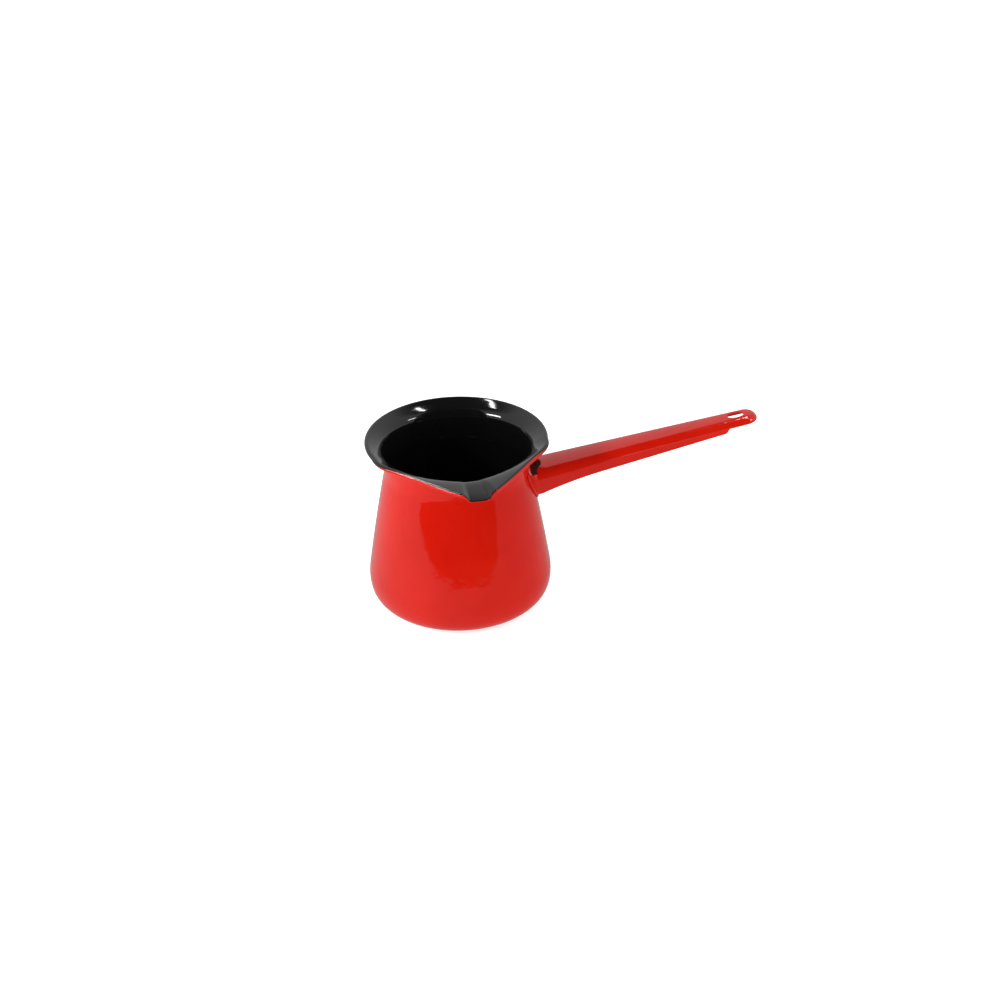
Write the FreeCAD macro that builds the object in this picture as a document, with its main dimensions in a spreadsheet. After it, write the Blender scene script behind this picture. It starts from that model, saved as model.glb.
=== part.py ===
"""Enamelled steel coffee pot (cezve) with a drawn pour lip and a pressed channel handle.

Frame: origin at the centre of the base's underside, +Z up, the handle along +X, the pour lip
towards -Y.  Lengths are millimetres and angles are degrees.

The pot is one drawn sheet.  Its wall is an outline of tangent arcs turned about Z.  Above
the neck the wall flares to a rolled rim, and at the lip the flare is drawn out to a beak.
The steel and each coat of enamel lie between two skins of that wall, each skin at its own
depth below the enamelled outside, so neighbouring solids share their faces.
"""
import FreeCAD
import Part
import math
import os

from FreeCAD import Placement, Rotation, Vector

DIMENSIONS = {
    # pot
    "potHeight": 90.4,
    "rimRadius": 46.0,
    "widestRadius": 46.9,
    "baseRadius": 36.0,
    "baseCornerRadius": 10.6,
    "bodyCornerRadius": 27.5,
    "wallArcRadius": 1100.0,
    "neckRadius": 36.8,
    "neckHeight": 74.0,
    "neckArcRadius": 18.0,
    "flareBendHeight": 85.4,
    "steelWall": 0.6,
    "enamelCoat": 0.2,
    "rimBeadRadius": 1.3,
    # pour lip
    "lipReach": 57.0,
    "lipFlankDistance": 43.7,
    "lipFlankAngle": 45.0,
    "lipDroop": 3.2,
    "mouthDroop": 2.0,
    "lipBendHeight": 87.0,
    # handle
    "handleEnd": 158.0,
    "handleTilt": 7.4,
    "handleTopAtRoot": 69.4,
    "handleRootHalfWidth": 10.2,
    "handleEndHalfWidth": 6.8,
    "handleShoulder": 4.5,
    "handleCrownRadius": 40.0,
    "handleSheet": 0.8,
    "skirtRootHeight": 55.0,
    "skirtWaistX": 72.0,
    "skirtWaistHeight": 64.7,
    "skirtEndX": 140.0,
    "skirtEndHeight": 76.8,
    "tongueSkirt": 4.2,
    "hangHoleX": 146.5,
    "hangHoleLength": 9.5,
    "hangHoleWidth": 6.0,
    "drainX": 34.0,
    "drainRadius": 9.0,
    "earWidth": 18.3,
    "earTop": 73.5,
    "earTopAtRoot": 68.0,
    "earBellyWidth": 17.2,
    "earBellyHeight": 63.5,
    "earCornerRadius": 1.5,
    "earClearance": 0.05,
    "weldRadius": 1.5,
    "weldLateral": 13.0,
    "weldLowHeight": 62.5,
    "weldHighHeight": 67.5,
}

# turns in degrees from the middle of the lip between which each change fades out
TIP_DROOP_TURNS = (4.5, 9.0)
OPEN_EDGE_TURNS = (6.2, 8.8)
MOUTH_DROOP_TURNS = (5.0, 65.0)
TROUGH_TURNS = (5.0, 60.0)
FLANK_TURNS = (50.0, 78.0)
FLANK_TURN_LIMIT = 85.0
COLOUR_TURNS = (45.0, 80.0)
# how square the corners between the lip's end and its flanks are
LIP_SHARPNESS = 60.0
# how tightly the wall bends out above the neck
FLARE_SHARPNESS = 2.5
# where the two colours meet on the rolled rim, turned about the bead from the inside
COLOUR_LINE_AT_LIP = math.radians(55)
COLOUR_LINE_AT_BACK = math.radians(140)

# stations round the pot, how far they crowd at the lip, and the rings of each surface
AZIMUTH_STATIONS = 72
LIP_CROWDING = 0.85
ARC_STEPS = 5
NECK_STEPS = 3
FLARE_STEPS = 8
BEAD_STEPS = 6
SMALL_STEP = 1e-3
SEW_TOLERANCE = 1e-4

doc = FreeCAD.newDocument("CoffeePot")


def make_sheet():
    """The driving dimensions, one named cell each."""
    sheet = doc.addObject("Spreadsheet::Sheet", "Dimensions")
    for row, (name, value) in enumerate(DIMENSIONS.items(), start=1):
        sheet.set("A%d" % row, name)
        sheet.set("B%d" % row, str(value))
        sheet.setAlias("B%d" % row, name)
    doc.recompute()
    return sheet


SHEET = make_sheet()


def dim(name):
    return float(SHEET.get(name))


WALL = dim("steelWall") + 2 * dim("enamelCoat")
COAT = dim("enamelCoat")


# ------------------------------------------------------------------ outline of the drawn wall

def arc_points(centre, radius, start, end, count, side=1):
    """(radius, height, normal) samples of an arc; side is -1 where the wall is outside it."""
    samples = []
    for step in range(count + 1):
        angle = start + (end - start) * step / count
        out = (math.cos(angle), math.sin(angle))
        point = (centre[0] + radius * out[0], centre[1] + radius * out[1])
        samples.append(point + (side * out[0], side * out[1]))
    return samples


def angle_to(centre, point):
    return math.atan2(point[1] - centre[1], point[0] - centre[0])


def wall_outline():
    """Samples of the enamelled outside from the flat base up to the neck.

    Base corner, body corner and the long wall arc bulge outwards and the neck arc inwards.
    Each arc is tangent to the next.
    """
    corner, body = dim("baseCornerRadius"), dim("bodyCornerRadius")
    wall, neck = dim("wallArcRadius"), dim("neckArcRadius")
    corner_centre = (dim("baseRadius"), corner)
    body_x = dim("widestRadius") - body
    body_rise = math.sqrt((body - corner) ** 2 - (body_x - corner_centre[0]) ** 2)
    body_centre = (body_x, corner + body_rise)
    neck_centre = (dim("neckRadius") + neck, dim("neckHeight"))
    dx, dz = neck_centre[0] - body_centre[0], neck_centre[1] - body_centre[1]
    apart = math.hypot(dx, dz)
    to_body, to_neck = wall - body, wall + neck
    along = (to_body ** 2 - to_neck ** 2 + apart ** 2) / (2 * apart)
    across = math.sqrt(to_body ** 2 - along ** 2)
    wall_centre = (body_centre[0] + (along * dx - across * dz) / apart,
                   body_centre[1] + (along * dz + across * dx) / apart)
    body_start = angle_to(body_centre, corner_centre)
    wall_start = angle_to(wall_centre, body_centre)
    wall_end = angle_to(wall_centre, neck_centre)
    neck_start = wall_end + math.pi
    samples = arc_points(corner_centre, corner, -math.pi / 2, body_start, ARC_STEPS)
    samples += arc_points(body_centre, body, body_start, wall_start, ARC_STEPS)[1:]
    samples += arc_points(wall_centre, wall, wall_start, wall_end, ARC_STEPS)[1:]
    samples += arc_points(neck_centre, neck, neck_start, math.pi, NECK_STEPS, side=-1)[1:]
    return samples


OUTLINE = wall_outline()


def wall_radius(height):
    """Radius of the enamelled outside at a height between the base and the neck."""
    for (low_r, low_z, *_), (high_r, high_z, *_) in zip(OUTLINE, OUTLINE[1:]):
        if low_z <= height <= high_z:
            return low_r + (high_r - low_r) * (height - low_z) / (high_z - low_z)
    return dim("neckRadius")


# ------------------------------------------------------------------ flare, beak and rolled rim

def fade(x, low, high):
    """1 below low, 0 above high, smooth between."""
    t = min(max((x - low) / (high - low), 0.0), 1.0)
    return 1 - t * t * (3 - 2 * t)


def rim_radius(turn):
    """Plan radius of the sheet's top edge, at a turn in degrees from the middle of the lip.

    The lip ends square.  Straight flanks lead back from it and run into the round rim.
    """
    square_on = 90 - dim("lipFlankAngle")
    near = min(abs(turn), FLANK_TURN_LIMIT)
    flank = dim("lipFlankDistance") / math.cos(math.radians(square_on - near))
    tip = dim("lipReach") / math.cos(math.radians(near))
    cornered = (flank ** -LIP_SHARPNESS + tip ** -LIP_SHARPNESS) ** (-1 / LIP_SHARPNESS)
    beak = fade(abs(turn), *FLANK_TURNS)
    circle = dim("rimRadius") - 2 * dim("rimBeadRadius") + WALL
    return cornered * beak + circle * (1 - beak)


def rim_height(turn):
    mouth = dim("mouthDroop") * fade(abs(turn), *MOUTH_DROOP_TURNS)
    lip = dim("lipDroop") * fade(abs(turn), *TIP_DROOP_TURNS)
    return dim("potHeight") - dim("rimBeadRadius") - mouth - lip


def bead_radius(turn):
    """The sheet's edge is rolled all round, but lies open along the tip of the lip."""
    plain = WALL / 2
    return plain + (dim("rimBeadRadius") - plain) * (1 - fade(abs(turn), *OPEN_EDGE_TURNS))


def colour_line(turn):
    """Angle on the bead at which the two colours meet: near its top along the lip's flanks."""
    front = fade(abs(turn), *COLOUR_TURNS)
    return COLOUR_LINE_AT_LIP * front + COLOUR_LINE_AT_BACK * (1 - front)


def flare_point(turn, rise):
    """Enamelled outside above the neck; rise runs from 0 at the neck to 1 at the rim.

    The wall climbs straight up, bends tightly outwards and runs out to the rim almost flat.
    """
    beak = fade(abs(turn), *TROUGH_TURNS)
    bend_z = dim("lipBendHeight") * beak + dim("flareBendHeight") * (1 - beak)
    neck = (dim("neckRadius"), dim("neckHeight"))
    bend = (dim("neckRadius"), bend_z)
    rim = (rim_radius(turn), rim_height(turn))
    weights = ((1 - rise) ** 2, 2 * FLARE_SHARPNESS * rise * (1 - rise), rise ** 2)
    radius, height = (sum(w * p[axis] for w, p in zip(weights, (neck, bend, rim))) / sum(weights)
                      for axis in (0, 1))
    return around(turn, radius, height)


def around(turn, radius, height):
    """The point at that turn from the lip, which lies towards -Y."""
    angle = math.radians(turn - 90)
    return Vector(radius * math.cos(angle), radius * math.sin(angle), height)


def flare_frame(turn, rise):
    """Outward normal and the way up the flare at a point of it."""
    sideways = flare_point(turn + SMALL_STEP, rise) - flare_point(turn - SMALL_STEP, rise)
    upwards = flare_point(turn, rise + SMALL_STEP) - flare_point(turn, rise - SMALL_STEP)
    normal = sideways.cross(upwards).normalize()
    upwards = normal.cross(sideways).normalize()
    return normal, upwards


def wall_point(turn, level, depth):
    """Point of the skin of the body at a depth below the enamelled outside."""
    radius, height, out, up = OUTLINE[level]
    return around(turn, radius - depth * out, height - depth * up)


def mouth_point(turn, rise, depth):
    """Point of the skin of the flare at a depth below the enamelled outside."""
    return flare_point(turn, rise) - flare_frame(turn, rise)[0] * depth


def bead_point(turn, angle, depth):
    """Point of the rolled rim; the angle turns about the bead from the inside, over the top."""
    radius = bead_radius(turn)
    normal, upwards = flare_frame(turn, 1.0)
    centre = flare_point(turn, 1.0) + normal * (radius - WALL)
    return centre + (upwards * math.sin(angle) - normal * math.cos(angle)) * (radius - depth)


def groove_angle(turn, depth):
    """Where on the bead the rolled rim comes back to the outside of the wall."""
    radius = bead_radius(turn)
    return 2 * math.pi - math.acos((radius - WALL + depth) / (radius - depth))


def groove_rise(turn, depth):
    """The same place as a rise up the flare."""
    radius = bead_radius(turn)
    back = math.sqrt(max((radius - depth) ** 2 - (radius - WALL + depth) ** 2, 0.0))
    climb = (flare_point(turn, 1.0) - flare_point(turn, 1 - SMALL_STEP)).Length / SMALL_STEP
    return 1 - back / climb


# ------------------------------------------------------------------ skins and solids of the pot

def ring(point_at):
    """Points round the pot, with their stations crowded together at the lip."""
    points = []
    for station in range(AZIMUTH_STATIONS):
        share = 2 * station / AZIMUTH_STATIONS - 1
        turn = 180 * (share - LIP_CROWDING * math.sin(math.pi * share) / math.pi)
        points.append(point_at(turn))
    return points


def ring_spline(points):
    spline = Part.BSplineCurve()
    spline.interpolate(Points=points, PeriodicFlag=True,
                       Parameters=[float(i) for i in range(len(points) + 1)])
    return spline


def skin_face(rings):
    """Smooth face through the rings, spaced along it as they are in space."""
    heights = [0.0]
    for low, high in zip(rings, rings[1:]):
        step = sum((a - b).Length for a, b in zip(low, high)) / len(low)
        heights.append(heights[-1] + step)
    splines = [ring_spline(points) for points in rings]
    columns = []
    for poles in zip(*[spline.getPoles() for spline in splines]):
        column = Part.BSplineCurve()
        column.interpolate(Points=list(poles), Parameters=heights)
        columns.append(column)
    around_pot, up_wall = splines[0], columns[0]
    surface = Part.BSplineSurface()
    surface.buildFromPolesMultsKnots(
        [column.getPoles() for column in columns],
        around_pot.getMultiplicities(), up_wall.getMultiplicities(),
        around_pot.getKnots(), up_wall.getKnots(),
        True, False, around_pot.Degree, up_wall.Degree)
    return surface.toShape()


def disc_face(points):
    return Part.Face(Part.Wire([ring_spline(points).toShape()]))


def wall_rings(depth):
    return [ring(lambda turn: wall_point(turn, level, depth)) for level in range(len(OUTLINE))]


def mouth_rings(depth, top_rise):
    """Rings up the flare to the rise that top_rise gives for each turn."""
    return [ring(lambda turn: mouth_point(turn, top_rise(turn) * step / FLARE_STEPS, depth))
            for step in range(1, FLARE_STEPS + 1)]


def bead_rings(depth, start, end):
    """Rings on the rolled rim from one angle to another, both given for each turn."""
    return [ring(lambda turn: bead_point(turn, start(turn) * (1 - step / BEAD_STEPS)
                                         + end(turn) * step / BEAD_STEPS, depth))
            for step in range(BEAD_STEPS + 1)]


def outer_rings(depth):
    """Outside of the wall, then the underside of the rolled rim up to the colour line."""
    wall = wall_rings(depth) + mouth_rings(depth, lambda turn: groove_rise(turn, depth))
    under = bead_rings(depth, lambda turn: groove_angle(turn, depth), colour_line)
    return wall, [wall[-1]] + under[1:]


def inner_rings(depth):
    """Inside of the wall, then the top of the rolled rim down to the colour line."""
    wall = wall_rings(WALL - depth) + mouth_rings(WALL - depth, lambda turn: 1.0)
    over = bead_rings(depth, lambda turn: 0.0, colour_line)
    return wall, [wall[-1]] + over[1:]


def closed_solid(faces):
    shell = Part.makeShell(faces)
    shell.sewShape(SEW_TOLERANCE)
    solid = Part.makeSolid(shell.Shells[0] if shell.Shells else Part.Shell(shell.Faces))
    if solid.Volume < 0:
        solid.reverse()
    return solid


def pot_steel_solid():
    outside, under = outer_rings(COAT)
    inside, over = inner_rings(COAT)
    faces = [skin_face(rings) for rings in (outside, under, over, inside)]
    return closed_solid(faces + [disc_face(outside[0]), disc_face(inside[0])])


def outer_coat_solid():
    outside, under = outer_rings(0.0)
    backing, backing_under = outer_rings(COAT)
    faces = [skin_face(rings) for rings in (outside, under, backing, backing_under)]
    edges = [skin_face([outside[0], backing[0]]), skin_face([under[-1], backing_under[-1]])]
    return closed_solid(faces + edges)


def inner_coat_solid():
    inside, over = inner_rings(0.0)
    backing, backing_over = inner_rings(COAT)
    faces = [skin_face(rings) for rings in (inside, over, backing, backing_over)]
    edge = skin_face([over[-1], backing_over[-1]])
    return closed_solid(faces + [edge, disc_face(inside[0]), disc_face(backing[0])])


# ------------------------------------------------------------------ handle

TILT_SLOPE = math.tan(math.radians(dim("handleTilt")))


def swollen_pot(swell):
    """Solid of the wall's outline up to the neck, swollen by a distance along its normals."""
    points = [Vector(r + swell * out, 0, z + swell * up) for r, z, out, up in OUTLINE]
    curve = Part.BSplineCurve()
    curve.interpolate(points)
    top = Vector(points[-1].x, 0, dim("potHeight"))
    axis_top, axis_bottom = Vector(0, 0, top.z), Vector(0, 0, points[0].z)
    corners = [points[-1], top, axis_top, axis_bottom, points[0]]
    straights = [Part.LineSegment(a, b).toShape() for a, b in zip(corners, corners[1:])]
    face = Part.Face(Part.Wire([curve.toShape()] + straights))
    return face.revolve(Vector(0, 0, 0), Vector(0, 0, 1), 360)


def handle_half_width(x):
    root, end = dim("neckRadius"), dim("handleEnd")
    share = (x - root) / (end - root)
    return dim("handleRootHalfWidth") * (1 - share) + dim("handleEndHalfWidth") * share


def handle_top(x):
    return dim("handleTopAtRoot") + (x - dim("neckRadius")) * TILT_SLOPE


def handle_section(x, inset):
    """Cross-section of the channel's outside, moved in by an inset, and open far below.

    The crown arc of the top is tangent to the shoulder arcs, and they to the sides.
    """
    half, shoulder, crown = handle_half_width(x), dim("handleShoulder"), dim("handleCrownRadius")
    crown_centre = Vector(x, 0, handle_top(x) - crown)
    lean = math.asin((half - shoulder) / (crown - shoulder))
    bottom = dim("skirtRootHeight") - 2 * dim("handleRootHalfWidth")

    def outline_half(side):
        centre = crown_centre + Vector(0, side * math.sin(lean), math.cos(lean)) * (crown - shoulder)

        def bend(angle):
            return centre + Vector(0, side * math.sin(angle), math.cos(angle)) * (shoulder - inset)
        return bend(lean), bend((lean + math.pi / 2) / 2), bend(math.pi / 2)
    left_top, left_bend, left_side = outline_half(-1)
    right_top, right_bend, right_side = outline_half(1)
    crown_top = crown_centre + Vector(0, 0, crown - inset)
    left_foot = Vector(x, left_side.y, bottom)
    right_foot = Vector(x, right_side.y, bottom)
    edges = [
        Part.LineSegment(left_foot, left_side),
        Part.Arc(left_side, left_bend, left_top),
        Part.Arc(left_top, crown_top, right_top),
        Part.Arc(right_top, right_bend, right_side),
        Part.LineSegment(right_side, right_foot),
        Part.LineSegment(right_foot, left_foot),
    ]
    return Part.Wire([edge.toShape() for edge in edges])


def handle_blank(inset):
    """The channel's filled outside with its rounded end, moved in by an inset."""
    start = dim("neckRadius") / 2
    end = dim("handleEnd")
    blank = Part.makeLoft([handle_section(start, inset), handle_section(end, inset)], True)
    radius = dim("handleEndHalfWidth")
    nose = Part.makeCylinder(radius - inset, 2 * end, Vector(end - radius, 0, -end))
    middle = Part.makeBox(end - radius - start, 2 * end, 2 * end, Vector(start, -end, -end))
    return blank.common(nose.fuse(middle))


def side_trim(grow):
    """Everything above the skirts' lower edge, which steps up to the tongue at the end."""
    root_x, waist_x, step_x = dim("neckRadius"), dim("skirtWaistX"), dim("skirtEndX")
    high = dim("potHeight") + dim("handleEnd")
    waist_z, step_z = dim("skirtWaistHeight") - grow, dim("skirtEndHeight") - grow
    slope = (step_z - waist_z) / (step_x - waist_x)
    flat_z = handle_top(step_x) - dim("tongueSkirt") - grow
    end_x = dim("handleEnd") + dim("handleSheet") + grow
    end_z = flat_z + (end_x - step_x) * TILT_SLOPE
    bend = (flat_z - step_z) / 2

    def at(x, z):
        return Vector(x, 0, z)
    root = at(root_x - dim("drainRadius"), dim("skirtRootHeight") - grow
              - dim("drainRadius") * slope)
    waist = at(waist_x, waist_z)
    pull = at(root_x + (waist_x - root_x) / 2, waist_z - slope * (waist_x - root_x) / 2)
    belly = Part.BezierCurve()
    belly.setPoles([root, pull, waist])
    step_low = at(step_x + grow, step_z)
    step_high = at(step_x + grow + 2 * bend, flat_z + 2 * bend * TILT_SLOPE)
    step = Part.BezierCurve()
    step.setPoles([step_low, at(step_x + grow + bend, step_z + slope * bend),
                   at(step_x + grow + bend, flat_z), step_high])
    corners = [step_high, at(end_x, end_z), at(end_x, high), at(root.x, high), root]
    edges = [belly, Part.LineSegment(waist, step_low), step]
    edges += [Part.LineSegment(a, b) for a, b in zip(corners, corners[1:])]
    wide = dim("handleRootHalfWidth") * 4
    face = Part.Face(Part.Wire([edge.toShape() for edge in edges]))
    face.translate(Vector(0, -wide / 2, 0))
    return face.extrude(Vector(0, wide, 0))


def ear_prism(side, grow):
    """Prism along X over one welding ear; side is +1 or -1 across the handle.

    The ear leaves the channel's side at the skirt's foot, bellies out and up to a tip, and its
    top edge slopes back down to the channel's shoulder.
    """
    inner = dim("handleRootHalfWidth") - dim("handleSheet")
    foot_z = dim("skirtRootHeight") - grow

    def at(y, z):
        return Vector(0, side * y, z)
    root_low, root_high = at(inner, foot_z), at(inner, dim("earTopAtRoot") + grow)
    foot = at(dim("handleRootHalfWidth") + grow, foot_z)
    belly = at(dim("earBellyWidth") + grow, dim("earBellyHeight") - grow)
    tip = at(dim("earWidth") + grow, dim("earTop") + grow)
    below_tip = tip + (belly - tip).normalize() * dim("earCornerRadius")
    inside_tip = tip + (root_high - tip).normalize() * dim("earCornerRadius")
    sweep, corner = Part.BezierCurve(), Part.BezierCurve()
    sweep.setPoles([foot, belly, below_tip])
    corner.setPoles([below_tip, tip, inside_tip])
    edges = [
        Part.LineSegment(root_low, foot),
        sweep,
        corner,
        Part.LineSegment(inside_tip, root_high),
        Part.LineSegment(root_high, root_low),
    ]
    face = Part.Face(Part.Wire([edge.toShape() for edge in edges]))
    return face.extrude(Vector(dim("widestRadius") + dim("earWidth"), 0, 0))


def hang_hole(grow):
    """Oval cutter through the tongue, square to the handle's top."""
    long_half, wide_half = dim("hangHoleLength") / 2 - grow, dim("hangHoleWidth") / 2 - grow
    deep = 4 * dim("handleShoulder")
    oval = Part.Ellipse(Vector(0, 0, 0), long_half, wide_half).toShape()
    cutter = Part.Face(Part.Wire([oval])).extrude(Vector(0, 0, deep))
    square = Rotation(Vector(0, 1, 0), -dim("handleTilt"))
    x = dim("hangHoleX")
    middle = Vector(x, 0, handle_top(x)) - square.multVec(Vector(0, 0, deep / 2))
    cutter.Placement = Placement(middle, square)
    return cutter


def handle_solid(grow):
    """The pressed channel with its two ears; grow is the coat laid on every open face."""
    sheet = dim("handleSheet")
    trim = side_trim(grow)
    outside = handle_blank(-grow).common(trim)
    hollow = handle_blank(sheet + grow)
    seat = swollen_pot(dim("earClearance"))
    ears_layer = swollen_pot(dim("earClearance") + sheet + grow)
    drain = Part.makeCylinder(dim("drainRadius") - grow, dim("potHeight"),
                              Vector(dim("drainX"), 0, dim("skirtWaistHeight")))
    channel = outside.cut(hollow).cut(drain)
    ears = [ears_layer.common(ear_prism(side, grow)) for side in (1, -1)]
    handle = channel.fuse(ears).cut(seat).cut(hang_hole(grow))
    return max(handle.Solids, key=lambda solid: solid.Volume)


# ------------------------------------------------------------------ document

NODES = []


def add_feature(name, shape):
    feature = doc.addObject("Part::Feature", name)
    feature.Shape = shape
    feature.Placement = Placement()
    return finish(feature, name)


def finish(feature, name):
    feature.Label = name
    NODES.append(feature)
    return feature


def add_base_coat():
    disc = doc.addObject("Part::Cylinder", "base_enamel")
    disc.setExpression("Radius", "Dimensions.baseRadius")
    disc.setExpression("Height", "Dimensions.enamelCoat")
    return finish(disc, "base_enamel")


def add_weld_tools():
    """Four short rods through the wall at the ears, pointing at the pot's axis.

    Each is spun so that its seam lies aslant to the pot's meridians.
    """
    rods = []
    upright = Vector(0, 0, 1)
    lying = Rotation(Vector(0, 1, 0), 90) * Rotation(upright, 45)
    for side, side_name in ((1, "left"), (-1, "right")):
        for level in ("Low", "High"):
            rod = doc.addObject("Part::Cylinder", "weld_rod_%s_%s" % (side_name, level.lower()))
            rod.setExpression("Radius", "Dimensions.weldRadius")
            rod.setExpression("Height", "Dimensions.weldRadius * 3")
            height = dim("weld%sHeight" % level)
            start = wall_radius(height) - dim("weldRadius") * 3 / 2
            angle = math.degrees(math.asin(side * dim("weldLateral") / dim("neckRadius")))
            radial = Rotation(upright, angle)
            rod.Placement = Placement(radial.multVec(Vector(start, 0, height)), radial * lying)
            rods.append(rod)
    doc.recompute()
    return rods


def weld_nuggets(rods):
    """The fused metal between the pot's steel and the ears, where the coats are burnt away."""
    gap = swollen_pot(dim("earClearance")).cut(swollen_pot(-COAT))
    return Part.makeCompound([gap.common(rod.Shape) for rod in rods])


def pierced(shape, rods):
    for rod in rods:
        shape = shape.cut(rod.Shape)
    return shape.Solids[0]


def check(objects):
    for item in objects:
        if "Invalid" in item.State or "Error" in item.State:
            raise RuntimeError("%s failed: %s" % (item.Label, item.State))
    for node in NODES:
        if node.Shape.isNull() or not node.Shape.isValid() or not node.Shape.Solids:
            raise RuntimeError("%s has no sound shape" % node.Label)


def main():
    rods = add_weld_tools()
    add_feature("pot_shell", pot_steel_solid())
    add_feature("outer_enamel", pierced(outer_coat_solid(), rods))
    add_feature("inner_enamel", inner_coat_solid())
    add_base_coat()
    handle = handle_solid(0.0)
    add_feature("handle_shell", handle)
    add_feature("handle_enamel", handle_solid(COAT).cut(handle))
    add_feature("spot_welds", weld_nuggets(rods))
    doc.recompute()
    check(doc.Objects)
    os.makedirs("parts", exist_ok=True)
    for node in NODES:
        node.Shape.exportStep("parts/%s.step" % node.Label)
        print("%-14s %d solid(s) %9.1f mm3" % (node.Label, len(node.Shape.Solids), node.Shape.Volume))


main()
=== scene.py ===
"""Looks of the enamelled coffee pot: its enamel skins, its handle, the studio and the camera.

The shapes follow the same named sizes as the CAD model.  Sizes are in millimetres and are
turned into metres where a mesh is made.  The lip points to -Y and the handle to +X.
"""
import math

import bmesh
import bpy
from mathutils import Matrix, Vector


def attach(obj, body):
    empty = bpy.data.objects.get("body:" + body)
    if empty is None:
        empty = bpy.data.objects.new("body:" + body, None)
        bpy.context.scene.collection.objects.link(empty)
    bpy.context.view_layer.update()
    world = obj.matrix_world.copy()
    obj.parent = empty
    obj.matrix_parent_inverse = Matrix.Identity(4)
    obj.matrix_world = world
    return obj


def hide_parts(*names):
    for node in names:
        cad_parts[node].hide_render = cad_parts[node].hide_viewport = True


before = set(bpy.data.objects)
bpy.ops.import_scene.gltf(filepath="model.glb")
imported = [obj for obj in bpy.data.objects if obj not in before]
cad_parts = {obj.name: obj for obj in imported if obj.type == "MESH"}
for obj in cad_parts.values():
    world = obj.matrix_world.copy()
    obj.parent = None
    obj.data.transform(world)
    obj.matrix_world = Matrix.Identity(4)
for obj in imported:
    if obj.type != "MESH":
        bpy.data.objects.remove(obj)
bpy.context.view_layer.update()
MM = 0.001

# ------------------------------------------------------------------ sizes, in millimetres

POT_HEIGHT = 90.4
RIM_RADIUS = 46.0
WIDEST_RADIUS = 46.9
BASE_RADIUS = 36.0
BASE_CORNER_RADIUS = 10.6
BODY_CORNER_RADIUS = 27.5
WALL_ARC_RADIUS = 1100.0
NECK_RADIUS = 36.8
NECK_HEIGHT = 74.0
NECK_ARC_RADIUS = 18.0
FLARE_BEND_HEIGHT = 85.4
FLARE_SHARPNESS = 2.5
STEEL_WALL = 0.6
COAT = 0.2
WALL = STEEL_WALL + 2 * COAT
BEAD_RADIUS = 1.3
LIP_REACH = 56.9
LIP_FLANK_DISTANCE = 43.7
LIP_FLANK_ANGLE = 45.0
LIP_DROOP = 3.2
MOUTH_DROOP = 2.0
LIP_BEND_HEIGHT = 87.0
LIP_SHARPNESS = 60.0
LIP_CROWDING = 0.85
LIP_DROOP_POWER = 1.3
COLOUR_LINE_AT_LIP = math.radians(55)
COLOUR_LINE_AT_BACK = math.radians(140)
# Turns from the lip, in degrees, between which each feature of the mouth fades out.
BEAK_TURNS = (50.0, 78.0)
FLANK_TURN_LIMIT = 85.0
MOUTH_DROOP_TURNS = (5.0, 65.0)
LIP_DROP_TURNS = (4.5, 9.0)
LIP_EDGE_TURNS = (6.2, 8.8)
LIP_BEND_TURNS = (5.0, 60.0)
COLOUR_LINE_TURNS = (45.0, 80.0)

HANDLE_END = 158.0
HANDLE_TILT = 7.4
HANDLE_TOP_AT_ROOT = 69.4
HANDLE_ROOT_HALF_WIDTH = 10.2
HANDLE_END_HALF_WIDTH = 6.8
HANDLE_SHOULDER = 4.5
HANDLE_CROWN_RADIUS = 40.0
HANDLE_SHEET = 0.8
SKIRT_ROOT_HEIGHT = 55.0
SKIRT_WAIST = (72.0, 64.7)
SKIRT_END = (140.0, 76.8)
TONGUE_SKIRT = 3.7
HANG_HOLE_X = 146.5
HANG_HOLE_LENGTH = 9.5
HANG_HOLE_WIDTH = 6.0
DRAIN_X = 36.6
DRAIN_RADIUS = 6.4
FLANGE_WIDTH = 19.3
FLANGE_TOP = 73.5
SEAT_GAP = 0.05
EDGE_BULGE = 0.4
EDGE_STEPS = 6
HOLE_ROUNDING = 0.35
HOLE_DEPTH = 2.4
HOLE_FLARE = (1.6, 0.35)
HOLE_STEPS = 64
HOLE_LEVELS = 16
SHARP_ANGLE = 35.0
WELD_DISTANCE = 0.01
SKIN_INSET = 0.02
SKIN_GAP = SEAT_GAP + HANDLE_SHEET + COAT
NOSE_X = HANDLE_END - HANDLE_END_HALF_WIDTH
TONGUE_STEP = (SKIRT_END[0] - 0.6, SKIRT_END[0] + 1.6)
EAR_FOOT = (HANDLE_ROOT_HALF_WIDTH + 0.8, SKIRT_ROOT_HEIGHT + 1.4)
EAR_PULL = (18.0, 64.5)
EAR_TIP = (FLANGE_WIDTH - EDGE_BULGE, FLANGE_TOP - EDGE_BULGE)
BEND = 2.2
BEND_LIMIT = 0.9
ROOT_ZONE = 58.0
STEP_ZONE = (SKIRT_END[0] - 4, SKIRT_END[0] + 6)

# ------------------------------------------------------------------ fineness of the meshes

TURNS = 288
FLARE_ROWS = 28
BEAD_ROWS = 12
FLOOR_ROWS = 8
BASE_CORNER_STEPS = 10
BODY_CORNER_STEPS = 20
LONG_WALL_STEPS = 20
NECK_STEPS = 6
SMALL_STEP = 1e-3
PROFILE_ROWS = 26
CROWN_ROWS = 5
PROFILE_REACH = 40.0
BISECTIONS = 40
ROOT_COLUMNS = 18
ROOT_CROWDING = 1.2
ROOT_PASSES = 4
STRAIGHT_COLUMNS = 40
STEP_COLUMNS = 20
TONGUE_COLUMNS = 8
NOSE_COLUMNS = 36
EAR_ROWS = int(PROFILE_ROWS * 0.64)
EAR_STEPS = 14
EAR_FLAT_SHARE = 0.5


# ------------------------------------------------------------------ outline of the drawn wall

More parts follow.
